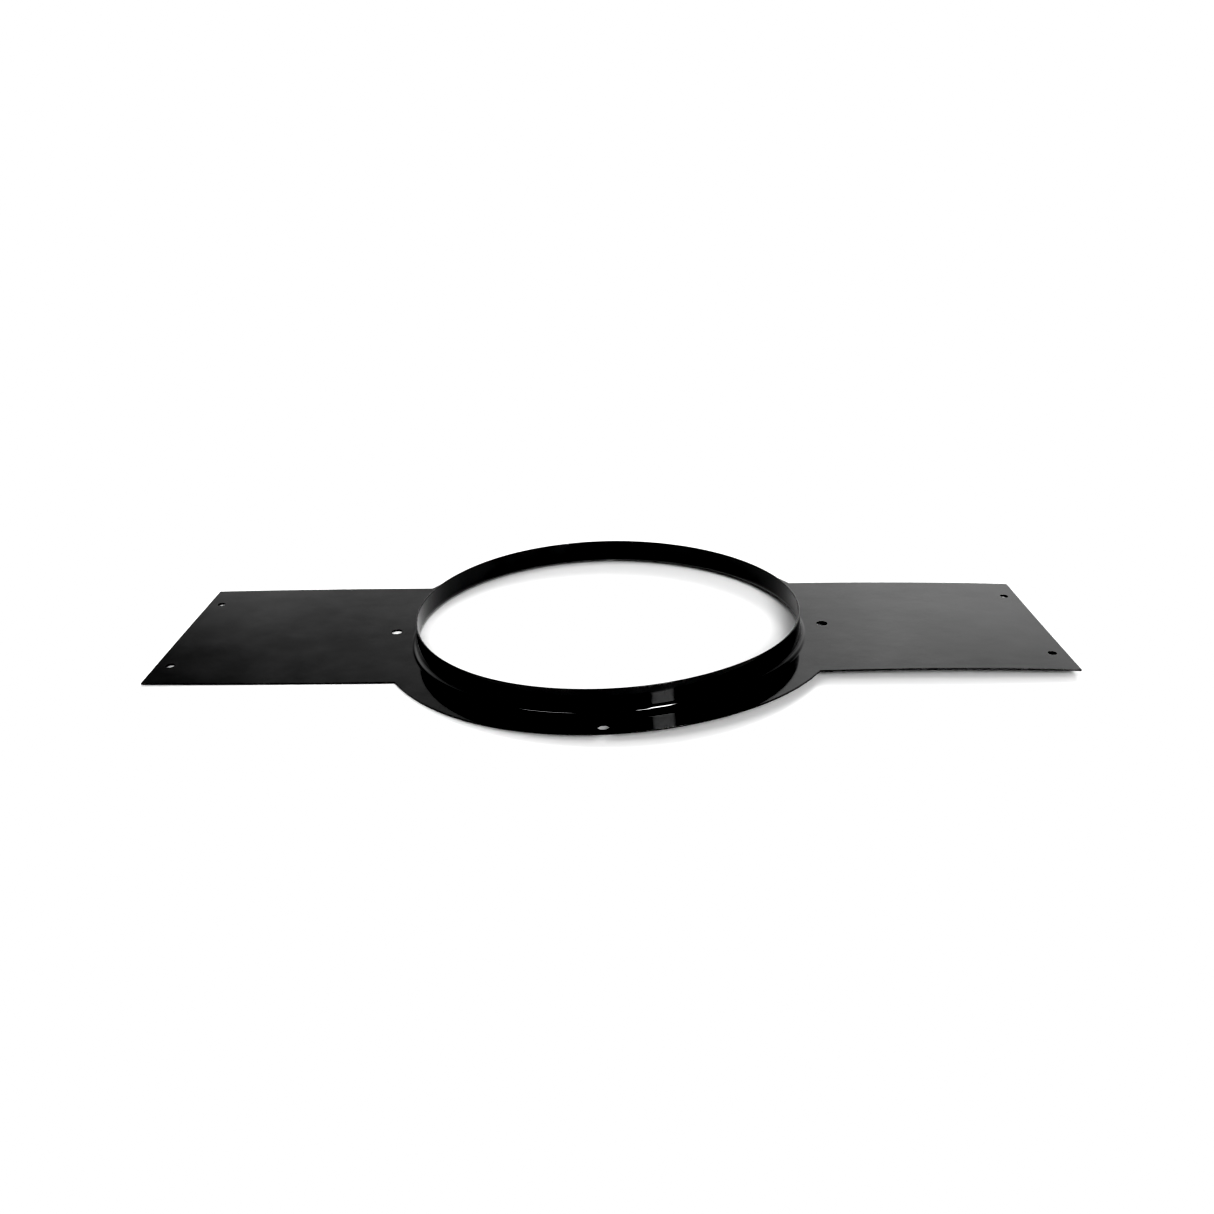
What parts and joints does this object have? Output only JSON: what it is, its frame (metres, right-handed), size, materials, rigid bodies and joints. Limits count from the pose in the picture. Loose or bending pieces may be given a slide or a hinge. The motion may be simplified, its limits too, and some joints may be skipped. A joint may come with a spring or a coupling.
{
  "type": "ceiling fixture mounting plate",
  "caption": "Thin black steel rough-in plate with two flat nailing wings and a round flange that carries a short open collar for a round ceiling fixture.",
  "frame": {"origin": "on the collar's axis, level with the flat back of the plate", "axes": "+Z along the collar's axis towards its free edge, +X along the wings, +Y across the wings"},
  "size_m": [0.581, 0.304, 0.017],
  "materials": {
    "black_paint": "semi-gloss black enamel on sheet steel"
  },
  "bodies": {
    "root": {"mounting_plate": "black_paint", "collar_ring": "black_paint"}
  },
  "joints": []
}
